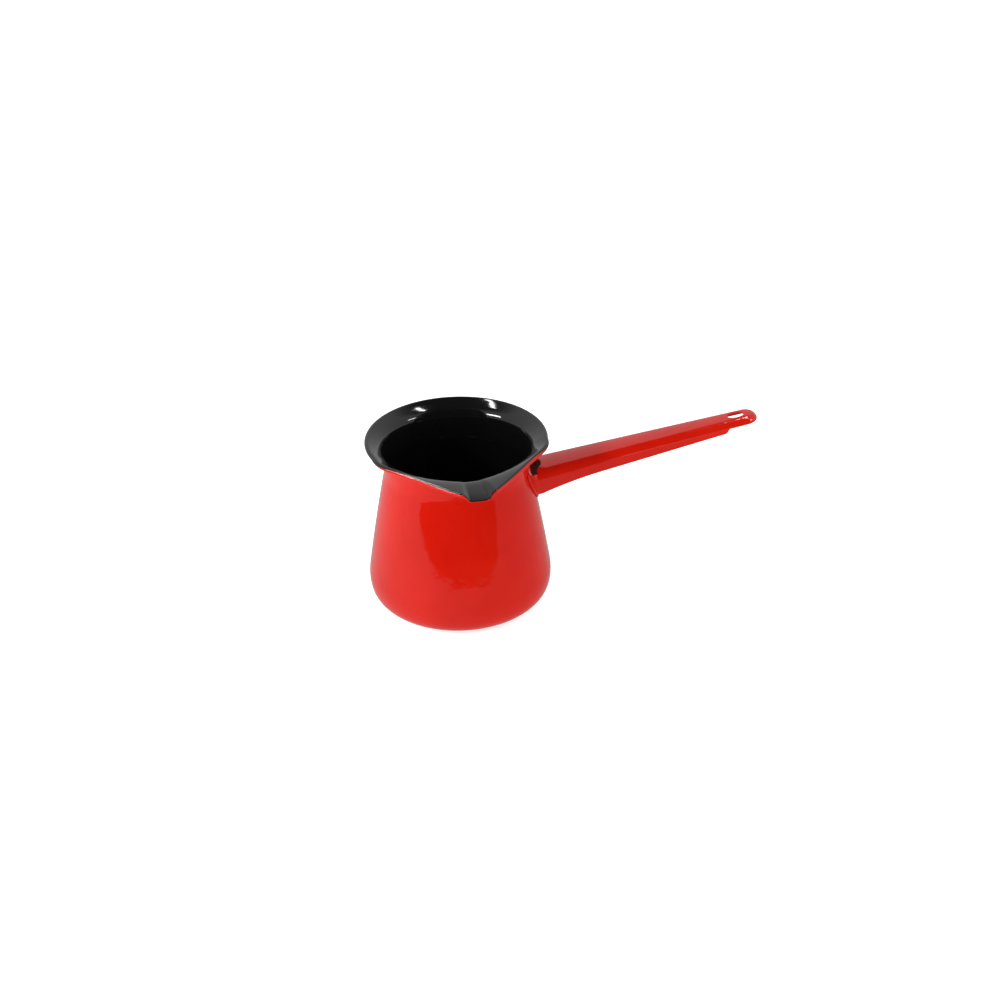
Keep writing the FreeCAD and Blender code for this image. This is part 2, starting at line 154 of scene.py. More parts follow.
def arc_samples(centre, radius, start, end, count, side=1):
    """(radius, height, normal) samples of an arc; side is -1 where the wall is outside it."""
    samples = []
    for step in range(count + 1):
        angle = start + (end - start) * step / count
        out = (math.cos(angle), math.sin(angle))
        point = (centre[0] + radius * out[0], centre[1] + radius * out[1])
        samples.append(point + (side * out[0], side * out[1]))
    return samples


def angle_to(centre, point):
    return math.atan2(point[1] - centre[1], point[0] - centre[0])


def wall_outline():
    """Tangent arcs: base corner, body corner and long wall bulge out, the neck curves in."""
    corner_centre = (BASE_RADIUS, BASE_CORNER_RADIUS)
    body_x = WIDEST_RADIUS - BODY_CORNER_RADIUS
    rise = math.sqrt((BODY_CORNER_RADIUS - BASE_CORNER_RADIUS) ** 2 - (body_x - BASE_RADIUS) ** 2)
    body_centre = (body_x, BASE_CORNER_RADIUS + rise)
    neck_centre = (NECK_RADIUS + NECK_ARC_RADIUS, NECK_HEIGHT)
    dx, dz = neck_centre[0] - body_centre[0], neck_centre[1] - body_centre[1]
    apart = math.hypot(dx, dz)
    to_body, to_neck = WALL_ARC_RADIUS - BODY_CORNER_RADIUS, WALL_ARC_RADIUS + NECK_ARC_RADIUS
    along = (to_body ** 2 - to_neck ** 2 + apart ** 2) / (2 * apart)
    across = math.sqrt(to_body ** 2 - along ** 2)
    wall_centre = (body_centre[0] + (along * dx - across * dz) / apart,
                   body_centre[1] + (along * dz + across * dx) / apart)
    body_start = angle_to(body_centre, corner_centre)
    wall_start = angle_to(wall_centre, body_centre)
    wall_end = angle_to(wall_centre, neck_centre)
    samples = arc_samples(corner_centre, BASE_CORNER_RADIUS, -math.pi / 2, body_start,
                          BASE_CORNER_STEPS)
    samples += arc_samples(body_centre, BODY_CORNER_RADIUS, body_start, wall_start,
                           BODY_CORNER_STEPS)[1:]
    samples += arc_samples(wall_centre, WALL_ARC_RADIUS, wall_start, wall_end,
                           LONG_WALL_STEPS)[1:]
    samples += arc_samples(neck_centre, NECK_ARC_RADIUS, wall_end + math.pi, math.pi,
                           NECK_STEPS, side=-1)[1:]
    return samples


OUTLINE = wall_outline()


def outline_radius(height):
    """Radius of the enamelled outside at a height between the base and the neck."""
    for low, high in zip(OUTLINE, OUTLINE[1:]):
        if low[1] <= height <= high[1]:
            share = (height - low[1]) / (high[1] - low[1])
            return low[0] * (1 - share) + high[0] * share
    return NECK_RADIUS


# ------------------------------------------------------------------ flare, beak and rolled rim

def fade(x, low, high):
    """1 below low, 0 above high, smooth between."""
    t = min(max((x - low) / (high - low), 0.0), 1.0)
    return 1 - t * t * (3 - 2 * t)


def around(turn, radius, height):
    """The point at that turn, in degrees, from the lip."""
    angle = math.radians(turn - 90)
    return Vector((radius * math.cos(angle), radius * math.sin(angle), height))


def rim_radius(turn):
    """Radius of the mouth's edge: a round mouth with a straight-sided beak on its front."""
    square_on = 90 - LIP_FLANK_ANGLE
    near = min(abs(turn), FLANK_TURN_LIMIT)
    flank = LIP_FLANK_DISTANCE / math.cos(math.radians(square_on - near))
    tip = LIP_REACH / math.cos(math.radians(near))
    cornered = (flank ** -LIP_SHARPNESS + tip ** -LIP_SHARPNESS) ** (-1 / LIP_SHARPNESS)
    beak = fade(abs(turn), *BEAK_TURNS)
    return cornered * beak + (RIM_RADIUS - 2 * BEAD_RADIUS + WALL) * (1 - beak)


def rim_height(turn):
    return POT_HEIGHT - BEAD_RADIUS - MOUTH_DROOP * fade(abs(turn), *MOUTH_DROOP_TURNS)


def lip_drop(turn):
    """How far the tip of the lip is pressed down between its two raised sides."""
    return LIP_DROOP * fade(abs(turn), *LIP_DROP_TURNS)


def bead_radius(turn):
    """Radius of the rolled rim: at the tip of the lip it is only the sheet's own edge."""
    edge = WALL / 2
    return edge + (BEAD_RADIUS - edge) * (1 - fade(abs(turn), *LIP_EDGE_TURNS))


def colour_line(turn):
    """Angle on the bead at which the two colours meet: near its top along the lip's flanks."""
    front = fade(abs(turn), *COLOUR_LINE_TURNS)
    return COLOUR_LINE_AT_LIP * front + COLOUR_LINE_AT_BACK * (1 - front)


def flare_point(turn, rise):
    """Enamelled outside above the neck; rise runs from 0 at the neck to 1 at the rim."""
    beak = fade(abs(turn), *LIP_BEND_TURNS)
    bend_z = LIP_BEND_HEIGHT * beak + FLARE_BEND_HEIGHT * (1 - beak)
    a, b, c = (1 - rise) ** 2, 2 * FLARE_SHARPNESS * rise * (1 - rise), rise ** 2
    whole = a + b + c
    radius = (NECK_RADIUS * (a + b) + rim_radius(turn) * c) / whole
    height = (NECK_HEIGHT * a + bend_z * b + rim_height(turn) * c) / whole
    return around(turn, radius, height - lip_drop(turn) * (c / whole) ** LIP_DROOP_POWER)


def flare_frame(turn, rise):
    """Outward normal and the way up the flare at a point of it."""
    sideways = flare_point(turn + SMALL_STEP, rise) - flare_point(turn - SMALL_STEP, rise)
    upwards = flare_point(turn, rise + SMALL_STEP) - flare_point(turn, rise - SMALL_STEP)
    normal = sideways.cross(upwards).normalized()
    return normal, normal.cross(sideways).normalized()


def mouth_point(turn, rise, depth):
    """Point of the flare at a depth below its enamelled outside."""
    normal, _ = flare_frame(turn, rise)
    return flare_point(turn, rise) - normal * depth


def bead_point(turn, angle, depth):
    """Point of the rolled rim; the angle turns about the bead from the inside, over the top."""
    radius = bead_radius(turn)
    normal, upwards = flare_frame(turn, 1.0)
    centre = flare_point(turn, 1.0) + normal * (radius - WALL)
    return centre + (upwards * math.sin(angle) - normal * math.cos(angle)) * (radius - depth)


def groove_angle(turn, depth):
    """Angle on the bead at which its underside meets the flare's outside."""
    radius = bead_radius(turn)
    return 2 * math.pi - math.acos(min((radius - WALL + depth) / (radius - depth), 1.0))


def groove_rise(turn, depth):
    """Rise on the flare at which the bead's underside meets it."""
    radius = bead_radius(turn)
    back = math.sqrt(max((radius - depth) ** 2 - (radius - WALL + depth) ** 2, 0.0))
    climb = (flare_point(turn, 1.0) - flare_point(turn, 1 - SMALL_STEP)).length / SMALL_STEP
    return 1 - back / climb


# ------------------------------------------------------------------ enamel skins as meshes

def turn_at(column):
    """Turn of a mesh column, in degrees; the columns crowd together towards the lip."""
    share = 2 * column / TURNS - 1
    return 180 * (share - LIP_CROWDING * math.sin(math.pi * share) / math.pi)


STATIONS = [turn_at(column) for column in range(TURNS)]


def ring(point_at):
    return [point_at(turn) for turn in STATIONS]


def wall_rings(depth):
    return [ring(lambda turn: around(turn, r - depth * out, z - depth * up))
            for r, z, out, up in OUTLINE]


def mouth_rings(depth, top_rise):
    return [ring(lambda turn: mouth_point(turn, top_rise(turn) * row / FLARE_ROWS, depth))
            for row in range(1, FLARE_ROWS + 1)]


def bead_rings(depth, start, end):
    return [ring(lambda turn: bead_point(turn, start(turn) * (1 - row / BEAD_ROWS)
                                         + end(turn) * row / BEAD_ROWS, depth))
            for row in range(1, BEAD_ROWS + 1)]


def floor_rings(height):
    """Rings of a flat floor from near its middle out to the base corner."""
    return [ring(lambda turn: around(turn, BASE_RADIUS * row / FLOOR_ROWS, height))
            for row in range(1, FLOOR_ROWS)]


def outer_rings(depth):
    """Underside, outside of the wall and the rolled rim's underside up to the colour line."""
    rise = mouth_rings(depth, lambda turn: groove_rise(turn, depth))
    under = bead_rings(depth, lambda turn: groove_angle(turn, depth), colour_line)
    return floor_rings(depth) + wall_rings(depth) + rise + under


def inner_rings(depth):
    """Floor, inside of the wall and the rolled rim's top down to the colour line."""
    inside = WALL - depth
    rise = mouth_rings(inside, lambda turn: 1.0)
    over = bead_rings(depth, lambda turn: 0.0, colour_line)
    return floor_rings(inside) + wall_rings(inside) + rise + over


def closed_pot_mesh(name, first, second):
    """Closed mesh between two sets of rings that start in the middle and end at one edge."""
    rings = first + second[::-1]
    points = [point for one in rings for point in one]
    faces = []
    for low in range(len(rings) - 1):
        for column in range(TURNS):
            after = (column + 1) % TURNS
            faces.append((low * TURNS + column, low * TURNS + after,
                          (low + 1) * TURNS + after, (low + 1) * TURNS + column))
    for one, order in ((0, 1), (len(rings) - 1, -1)):
        middle = len(points)
        points.append(Vector((0, 0, rings[one][0].z)))
        for column in range(TURNS):
            pair = (one * TURNS + (column + 1) % TURNS, one * TURNS + column)[::order]
            faces.append((middle,) + pair)
    return new_piece(name, points, faces)


def linked(name, data):
    """A new object in the scene that holds this mesh, lamp or camera."""
    thing = bpy.data.objects.new(name, data)
    bpy.context.scene.collection.objects.link(thing)
    return thing


def new_piece(name, points, faces):
    """Smooth-shaded object from points in millimetres; it rides on the pot's only body."""
    mesh = bpy.data.meshes.new(name)
    mesh.from_pydata([tuple(Vector(p) * MM) for p in points], [], faces)
    mesh.validate()
    mesh.update()
    mesh.polygons.foreach_set("use_smooth", [True] * len(mesh.polygons))
    piece = linked(name, mesh)
    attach(piece, "root")
    return piece


# ------------------------------------------------------------------ handle

def handle_half_width(x):
    share = (x - NECK_RADIUS) / (HANDLE_END - NECK_RADIUS)
    return HANDLE_ROOT_HALF_WIDTH * (1 - share) + HANDLE_END_HALF_WIDTH * share


def handle_top(x):
    return HANDLE_TOP_AT_ROOT + (x - NECK_RADIUS) * math.tan(math.radians(HANDLE_TILT))


def skirt_bottom(x):
    """Height of the side walls' lower edge: bellied at the root, stepped up at the tongue."""
    slope = (SKIRT_END[1] - SKIRT_WAIST[1]) / (SKIRT_END[0] - SKIRT_WAIST[0])
    if x < SKIRT_WAIST[0]:
        share = (SKIRT_WAIST[0] - x) / (SKIRT_WAIST[0] - NECK_RADIUS)
        straight = SKIRT_WAIST[1] - slope * (SKIRT_WAIST[0] - x)
        return EDGE_BULGE + straight - (SKIRT_WAIST[1] - slope * (SKIRT_WAIST[0] - NECK_RADIUS)
                                        - SKIRT_ROOT_HEIGHT) * share ** 2
    skirt = SKIRT_WAIST[1] + slope * (x - SKIRT_WAIST[0])
    tongue = handle_top(x) - TONGUE_SKIRT
    step = fade(x, *TONGUE_STEP)
    return EDGE_BULGE + skirt * step + tongue * (1 - step)


def profile(half, travel):
    """(outward, drop) on the channel's section at a travel from the middle of its crown."""
    lean = math.asin((half - HANDLE_SHOULDER) / (HANDLE_CROWN_RADIUS - HANDLE_SHOULDER))
    crown_run = HANDLE_CROWN_RADIUS * lean
    shoulder_run = HANDLE_SHOULDER * (math.pi / 2 - lean)
    if travel <= crown_run:
        angle = travel / HANDLE_CROWN_RADIUS
        return HANDLE_CROWN_RADIUS * math.sin(angle), HANDLE_CROWN_RADIUS * (1 - math.cos(angle))
    reach = HANDLE_CROWN_RADIUS - HANDLE_SHOULDER
    centre = (reach * math.sin(lean), HANDLE_CROWN_RADIUS - reach * math.cos(lean))
    if travel <= crown_run + shoulder_run:
        angle = lean + (travel - crown_run) / HANDLE_SHOULDER
        return (centre[0] + HANDLE_SHOULDER * math.sin(angle),
                centre[1] - HANDLE_SHOULDER * math.cos(angle))
    return centre[0] + HANDLE_SHOULDER, centre[1] + travel - crown_run - shoulder_run


def profile_length(half, drop):
    """Travel from the middle of the crown down to a drop below it."""
    low, high = 0.0, PROFILE_REACH
    for _ in range(BISECTIONS):
        middle = (low + high) / 2
        if profile(half, middle)[1] < drop:
            low = middle
        else:
            high = middle
    return high


def row_travels(half, drop):
    """Travels of the rows of one section, from the skirt's edge up to the crown's middle."""
    lean = math.asin((half - HANDLE_SHOULDER) / (HANDLE_CROWN_RADIUS - HANDLE_SHOULDER))
    crown_run = HANDLE_CROWN_RADIUS * lean
    whole = profile_length(half, drop)
    side_rows = PROFILE_ROWS - CROWN_ROWS
    sides = [whole + (crown_run - whole) * row / side_rows for row in range(side_rows)]
    return sides + [crown_run * (1 - row / CROWN_ROWS) for row in range(CROWN_ROWS + 1)]


def pot_face(lateral, height, gap):
    """x of the pot's enamelled outside, at a gap out from it."""
    radius = outline_radius(min(height, NECK_HEIGHT)) + gap
    return math.sqrt(radius ** 2 - lateral ** 2)


def root_start(outward, height):
    """x where the channel's row starts: at the drain's edge, or where it bends to the ear."""
    drain, reach = DRAIN_X, DRAIN_RADIUS + EDGE_BULGE
    if abs(outward) < reach:
        drain = DRAIN_X + math.sqrt(reach ** 2 - outward ** 2)
    return max(drain, pot_face(outward, height, SKIN_GAP) + BEND)


def side_column(x, side):
    """Outer-face points of one straight section, from the skirt's edge to the crown."""
    half = handle_half_width(x)
    drop = handle_top(x) - skirt_bottom(x)
    points = []
    for travel in row_travels(half, drop):
        outward, fall = profile(half, travel)
        points.append([x, side * outward, handle_top(x) - fall])
    return points


def root_column(share, side):
    """A section near the root, slid so that the first one lies along the start line."""
    base = side_column(ROOT_ZONE, side)
    points = []
    for row in range(len(base)):
        x = ROOT_ZONE
        for _ in range(ROOT_PASSES):
            here = side_column(x, side)[row]
            start = root_start(abs(here[1]), here[2])
            x = start + (ROOT_ZONE - start) * share
        points.append(side_column(x, side)[row])
    return points


def nose_column(angle):
    """A section that turns round the nose; the angle is 0 at the handle's very end."""
    half = HANDLE_END_HALF_WIDTH + (handle_half_width(NOSE_X) - HANDLE_END_HALF_WIDTH) * abs(
        math.sin(angle))
    points = []
    for travel in row_travels(half, TONGUE_SKIRT - EDGE_BULGE):
        outward, fall = profile(half, travel)
        x = NOSE_X + outward * math.cos(angle)
        y = outward * math.sin(angle)
        points.append([x, y, handle_top(x) - fall])
    return points


def ear_edge(share):
    """Outer edge of the welding ear: share 0 at the foot, 1 at its top corner."""
    a, b, c = (1 - share) ** 2, 2 * share * (1 - share), share ** 2
    return tuple(a * foot + b * pull + c * tip
                 for foot, pull, tip in zip(EAR_FOOT, EAR_PULL, EAR_TIP))


def ear_columns(start_column, side):
    """Columns from the ear's outer edge to the start of the channel, rows from the foot up."""
    columns = []
    for step in range(EAR_STEPS):
        share = step / EAR_STEPS
        column = []
        for row in range(EAR_ROWS + 1):
            start = Vector(start_column[row])
            edge_y, edge_z = ear_edge(row / EAR_ROWS)
            knee_x = pot_face(start.y, start.z, SKIN_GAP)
            knee = Vector((knee_x, start.y, start.z))
            edge = Vector((pot_face(edge_y, edge_z, SKIN_GAP), side * edge_y, edge_z))
            column.append(bent_path(edge, knee, start, share))
        columns.append(column)
    return columns


def on_skin(point):
    """The point moved level onto the surface in which the ear's outer face lies."""
    radius = outline_radius(min(point.z, NECK_HEIGHT)) + SKIN_GAP
    flat = math.hypot(point.x, point.y)
    return Vector((point.x * radius / flat, point.y * radius / flat, point.z))


def bent_path(edge, knee, start, share):
    """Point on the way from the ear's edge over the rounded bend to the channel."""
    out = edge - knee
    bend_start = knee + out * (min(BEND, out.length * BEND_LIMIT) / out.length)
    if share < EAR_FLAT_SHARE:
        return on_skin(edge.lerp(bend_start, share / EAR_FLAT_SHARE))
    t = (share - EAR_FLAT_SHARE) / (1 - EAR_FLAT_SHARE)
    return on_skin(bend_start) * (1 - t) ** 2 + knee * 2 * t * (1 - t) + start * t ** 2


def spread(low, high, count):
    """Evenly spaced values from low to high, without low itself."""
    return [low + (high - low) * step / count for step in range(1, count + 1)]


def handle_columns():
    """All full-height columns from the left root, round the nose, to the right root."""
    root_shares = [(step / ROOT_COLUMNS) ** ROOT_CROWDING for step in range(ROOT_COLUMNS)]
    straight = [ROOT_ZONE] + spread(ROOT_ZONE, STEP_ZONE[0], STRAIGHT_COLUMNS)
    stepped = spread(STEP_ZONE[0], STEP_ZONE[1], STEP_COLUMNS)
    tongue = spread(STEP_ZONE[1], NOSE_X, TONGUE_COLUMNS)[:-1]
    sides = {}
    for side in (1, -1):
        columns = [root_column(share, side) for share in root_shares]
        columns += [side_column(x, side) for x in straight + stepped + tongue]
        sides[side] = columns
    nose = [nose_column(math.pi / 2 - math.pi * step / NOSE_COLUMNS)
            for step in range(NOSE_COLUMNS + 1)]
    return sides[1], nose, sides[-1]


def build_handle():
    """The whole handle: the channel's rows run out into an ear on each side of the pot."""
    left, nose, right = handle_columns()
    columns = left + nose + right[::-1]
    rows = PROFILE_ROWS + 1
    points = [Vector(p) for column in columns for p in column]
    faces = []
    for one in range(len(columns) - 1):
        for row in range(rows - 1):
            a = one * rows + row
            faces.append((a, a + rows, a + rows + 1, a + 1))
    for side, column in ((1, left[0]), (-1, right[0])):
        ear = ear_columns(column, side)
        first = len(points)
        ear_rows = EAR_ROWS + 1
        points += [p for one in ear for p in one]
        start_index = 0 if side == 1 else (len(columns) - 1) * rows
        for one in range(len(ear)):
            for row in range(ear_rows - 1):
                a = first + one * ear_rows + row
                if one + 1 < len(ear):
                    b = a + ear_rows
                else:
                    b = start_index + row
                quad = (a, b, b + 1, a + 1)
                faces.append(quad if side == 1 else quad[::-1])
    points, faces, inside_count = thickened(points, faces, HANDLE_SHEET + 2 * COAT, EDGE_BULGE)
    sheet = new_piece("handle_red_enamel", points, faces)
    sheet.data.materials.append(RED)
    # The inside faces of the channel take a much darker red: painted shade under the handle.
    sheet.data.materials.append(SHADED_UNDERSIDE_RED)
    for face in sheet.data.polygons:
        face.material_index = 1 if face.index < inside_count else 0
    cut_hang_hole(sheet)
    return sheet


def open_sheet(points, faces):
    """The outer skin as one welded bmesh that faces up along the crown."""
    sheet = bmesh.new()
    corners = [sheet.verts.new(point) for point in points]
    for face in faces:
        sheet.faces.new([corners[index] for index in face])
    bmesh.ops.remove_doubles(sheet, verts=sheet.verts, dist=WELD_DISTANCE)
    bmesh.ops.dissolve_degenerate(sheet, edges=sheet.edges, dist=WELD_DISTANCE)
    bmesh.ops.recalc_face_normals(sheet, faces=sheet.faces)
    highest = max(sheet.faces, key=lambda face: abs(face.normal.z))
    if highest.normal.z < 0:
        bmesh.ops.reverse_faces(sheet, faces=sheet.faces)
    sheet.normal_update()
    sheet.verts.index_update()
    return sheet


def edge_directions(sheet):
    """For each vertex on the sheet's edge, the way out of the sheet along its own surface."""
    outwards = {}
    for edge in sheet.edges:
        if not edge.is_boundary:
            continue
        face = edge.link_faces[0]
        along = edge.verts[1].co - edge.verts[0].co
        out = along.cross(face.normal).normalized()
        middle = (edge.verts[0].co + edge.verts[1].co) / 2
        if out.dot(face.calc_center_median() - middle) > 0:
            out = -out
        for vert in edge.verts:
            outwards[vert.index] = outwards.get(vert.index, Vector()) + out
    return {index: out.normalized() for index, out in outwards.items()}


def thickened(points, faces, thickness, bulge):
    """Points and faces of the sheet with its thickness and with rounded edges."""
    sheet = open_sheet(points, faces)
    outwards = edge_directions(sheet)
    outer, inner, strips = [], [], {}
    for vert in sheet.verts:
        outer.append(vert.co.copy())
        inner.append(vert.co - vert.normal * thickness)
    count = len(outer)
    solid_points = outer + inner
    for index, out in outwards.items():
        middle = (outer[index] + inner[index]) / 2
        half = (outer[index] - inner[index]) / 2
        strips[index] = [index]
        for step in range(1, EDGE_STEPS):
            angle = math.pi * step / EDGE_STEPS
            strips[index].append(len(solid_points))
            solid_points.append(middle + half * math.cos(angle) + out * bulge * math.sin(angle))
        strips[index].append(index + count)
    solid_faces = []
    for face in sheet.faces:
        ring_of = [vert.index for vert in face.verts]
        solid_faces.append(tuple(index + count for index in reversed(ring_of)))
    inside_count = len(solid_faces)
    for face in sheet.faces:
        solid_faces.append(tuple(vert.index for vert in face.verts))
    for edge in sheet.edges:
        if edge.is_boundary:
            loop = edge.link_loops[0]
            first, second = loop.vert.index, loop.link_loop_next.vert.index
            one, two = strips[first], strips[second]
            for step in range(EDGE_STEPS):
                solid_faces.append((one[step], one[step + 1], two[step + 1], two[step]))
    sheet.free()
    return solid_points, solid_faces, inside_count


def cut_hang_hole(handle):
    """Oval hole through the tongue, with softly rounded edges."""
    steps, levels = HOLE_STEPS, HOLE_LEVELS
    top = handle_top(HANG_HOLE_X)
    tilt = Matrix.Rotation(-math.radians(HANDLE_TILT), 3, "Y")
    points, faces = [], []
    for level in range(levels + 1):
        share = 2 * level / levels - 1
        flare = HOLE_ROUNDING * max(abs(share) * HOLE_FLARE[0] - HOLE_FLARE[1], 0.0) ** 2
        drop = -(HANDLE_SHEET + 2 * COAT) / 2 + share * HOLE_DEPTH
        for step in range(steps):
            angle = 2 * math.pi * step / steps
            offset = Vector(((HANG_HOLE_LENGTH / 2 - COAT + flare) * math.cos(angle),
                             (HANG_HOLE_WIDTH / 2 - COAT + flare) * math.sin(angle), drop))
            points.append(Vector((HANG_HOLE_X, 0, top)) + tilt @ offset)
    for level in range(levels):
        for step in range(steps):
            after = (step + 1) % steps
            faces.append((level * steps + step, level * steps + after,
                          (level + 1) * steps + after, (level + 1) * steps + step))
    faces.append(tuple(reversed(range(steps))))
    faces.append(tuple(range(levels * steps, (levels + 1) * steps)))
    mesh = bpy.data.meshes.new("hole_cutter")
    mesh.from_pydata([tuple(point * MM) for point in points], [], faces)
    cutter = linked("hole_cutter", mesh)
    cut = handle.modifiers.new("hang hole", "BOOLEAN")
    cut.operation = "DIFFERENCE"
    cut.solver = "EXACT"
    cut.object = cutter
    result = bpy.data.meshes.new_from_object(
        handle.evaluated_get(bpy.context.evaluated_depsgraph_get()))
    handle.modifiers.clear()
    handle.data = result
    result.polygons.foreach_set("use_smooth", [True] * len(result.polygons))
    result.set_sharp_from_angle(angle=math.radians(SHARP_ANGLE))
    bpy.data.objects.remove(cutter)


# ------------------------------------------------------------------ materials

DRIFT_SCALE = 22.0
SMEAR_SCALE = 90.0
PEEL_SCALE = 130.0
PEEL_HEIGHT = 0.0006
PORE_SCALE = 900.0
PORE_HEIGHT = 0.00005
PORE_SHARE = 0.15
ENAMEL_IOR = 1.52
STEEL_GRAIN_SCALE = 400.0
STEEL_DEEP = (0.32, 0.32, 0.33)
STEEL_LIGHT = (0.52, 0.52, 0.53)


def nodes_of(name):
    material = bpy.data.materials.new(name)
    material.use_nodes = True
    tree = material.node_tree
    return material, tree, tree.nodes["Principled BSDF"]


def noise(tree, scale, detail=2.0):
    """Factor of a noise that is fixed to the object."""
    place = tree.nodes.new("ShaderNodeTexCoord")
    texture = tree.nodes.new("ShaderNodeTexNoise")
    texture.inputs["Scale"].default_value = scale
    texture.inputs["Detail"].default_value = detail
    tree.links.new(place.outputs["Object"], texture.inputs["Vector"])
    return texture.outputs["Fac"]


def tinted(tree, shader, factor, deep, light, spread_from=0.0, spread_to=1.0):
    """Base colour that drifts between two colours."""
    tint = tree.nodes.new("ShaderNodeValToRGB")
    for element, position, colour in zip(tint.color_ramp.elements, (spread_from, spread_to),
                                         (deep, light)):
        element.position = position
        element.color = colour + (1.0,)
    tree.links.new(factor, tint.inputs["Fac"])
    tree.links.new(tint.outputs["Color"], shader.inputs["Base Color"])


def bump(tree, height, strength, distance):
    node = tree.nodes.new("ShaderNodeBump")
    node.inputs["Strength"].default_value = strength
    node.inputs["Distance"].default_value = distance
    tree.links.new(height, node.inputs["Height"])
    return node


def enamel(name, deep, light, roughness, peel):
    """Glossy vitreous enamel: slow colour drift, fine orange peel and tiny pores."""
    material, tree, shader = nodes_of(name)
    tinted(tree, shader, noise(tree, DRIFT_SCALE, 3.0), deep, light, 0.3, 0.7)
    gloss = tree.nodes.new("ShaderNodeMapRange")
    gloss.inputs["To Min"].default_value = roughness * 0.7
    gloss.inputs["To Max"].default_value = roughness * 1.5
    tree.links.new(noise(tree, SMEAR_SCALE, 4.0), gloss.inputs["Value"])
    tree.links.new(gloss.outputs["Result"], shader.inputs["Roughness"])
    ripple = bump(tree, noise(tree, PEEL_SCALE, 4.0), peel, PEEL_HEIGHT)
    pores = bump(tree, noise(tree, PORE_SCALE), peel * PORE_SHARE, PORE_HEIGHT)
    tree.links.new(ripple.outputs["Normal"], pores.inputs["Normal"])
    tree.links.new(pores.outputs["Normal"], shader.inputs["Normal"])
    shader.inputs["IOR"].default_value = ENAMEL_IOR
    return material


def steel(name):
    """Bare drawn steel with a fine grain; the enamel covers nearly all of it."""
    material, tree, shader = nodes_of(name)
    shader.inputs["Metallic"].default_value = 1.0
    tinted(tree, shader, noise(tree, STEEL_GRAIN_SCALE), STEEL_DEEP, STEEL_LIGHT)
    shader.inputs["Roughness"].default_value = 0.35
    return material


def set_material(piece, material):
    piece.data.materials.clear()
    piece.data.materials.append(material)


RED = enamel("red_enamel", (0.48, 0.006, 0.0015), (0.56, 0.010, 0.0025), 0.06, 0.30)
# Much darker, rougher red for the inside of the handle's channel: painted shade standing in for
# the shade under the handle.
SHADED_UNDERSIDE_RED = enamel("underside_painted_shade_red", (0.05, 0.002, 0.001), (0.10, 0.003, 0.002), 0.25, 0.25)
BLACK = enamel("black_enamel", (0.003, 0.003, 0.003), (0.006, 0.006, 0.006), 0.07, 0.08)
# Weakened reflections on the handle's inside, part of the same painted shade.
SHADED_UNDERSIDE_RED.node_tree.nodes["Principled BSDF"].inputs["Specular IOR Level"].default_value = 0.15
STEEL = steel("drawn_steel")


# ------------------------------------------------------------------ pieces

red_coat = closed_pot_mesh("pot_red_enamel", outer_rings(SKIN_INSET), outer_rings(COAT))
set_material(red_coat, RED)
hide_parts("outer_enamel", "base_enamel")

black_coat = closed_pot_mesh("pot_black_enamel", inner_rings(COAT), inner_rings(0.0))
set_material(black_coat, BLACK)
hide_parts("inner_enamel")

steel_core = closed_pot_mesh("pot_drawn_steel", outer_rings(COAT), inner_rings(COAT))
set_material(steel_core, STEEL)
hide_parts("pot_shell")

handle = build_handle()
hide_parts("handle_enamel", "handle_shell")

set_material(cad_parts["spot_welds"], STEEL)


# ------------------------------------------------------------------ studio and camera

FLOOR_SIZE = 6.0
FLOOR_COLOUR = (0.80, 0.80, 0.80, 1)
FLOOR_GLOW = 0.68
DARK = (0.004, 0.004, 0.004, 1)
FRONT_FOOT = ((-0.184, -0.093, 0.030), (-0.169, -0.114, 0.020), (-0.148, -0.130, 0.010),
              (-0.106, -0.150, 0.001), (-0.026, -0.168, 0.001), (0.054, -0.154, 0.001),
              (0.084, -0.143, 0.007), (0.093, -0.136, 0.020), (0.095, -0.125, 0.045),
              (0.110, -0.125, 0.100), (0.350, -0.220, 0.100))
FRONT_HEIGHT = 0.45
CEILING_HEIGHT = 0.80
CEILING_RADIUS = 0.62
CEILING_DARK_RADIUS = 0.36
CEILING_STEPS = 64
WORLD_ABOVE = 0.72
WORLD_BELOW = 0.42
WORLD_LEAN = (-0.15, 0.10, 0.0)
# Name, azimuth and elevation in degrees, distance, size, radiance.
SOFTBOXES = (("back right softbox", 5, 67, 0.68, (0.24, 0.03), 30),
             ("back left softbox", 126, 66, 0.68, (0.22, 0.03), 30),
             ("right softbox", -31, 30, 0.70, (0.26, 0.06), 18),
             ("left softbox", -165, 27, 0.70, (0.26, 0.12), 30))
CAMERA_ANGLES = (-12.0, 29.646, 1.155)
CAMERA_DISTANCE = 0.92201
CAMERA_HEIGHT = 0.040
CAMERA_AIM = (0.021255, 0.011406)
FOCAL_LENGTH = 64.8
SENSOR_WIDTH = 36.0


def stage_sheet(name, corners, colour, roughness):
    """A flat sheet of the studio."""
    mesh = bpy.data.meshes.new(name)
    mesh.from_pydata(corners, [], [(0, 1, 2, 3)])
    sheet = linked(name, mesh)
    material, _, shader = nodes_of(name)
    shader.inputs["Base Color"].default_value = colour
    shader.inputs["Roughness"].default_value = roughness
    shader.inputs["Specular IOR Level"].default_value = 0.1
    mesh.materials.append(material)
    return sheet


def add_floor():
    """Pale floor with a glow of its own, which reflections don't see."""
    size = FLOOR_SIZE
    corners = [(-size, -size, 0), (size, -size, 0), (size, size, 0), (-size, size, 0)]
    floor = stage_sheet("floor", corners, FLOOR_COLOUR, 0.9)
    shader = floor.data.materials[0].node_tree.nodes["Principled BSDF"]
    shader.inputs["Emission Color"].default_value = (1, 1, 1, 1)
    shader.inputs["Emission Strength"].default_value = FLOOR_GLOW
    floor.visible_glossy = False


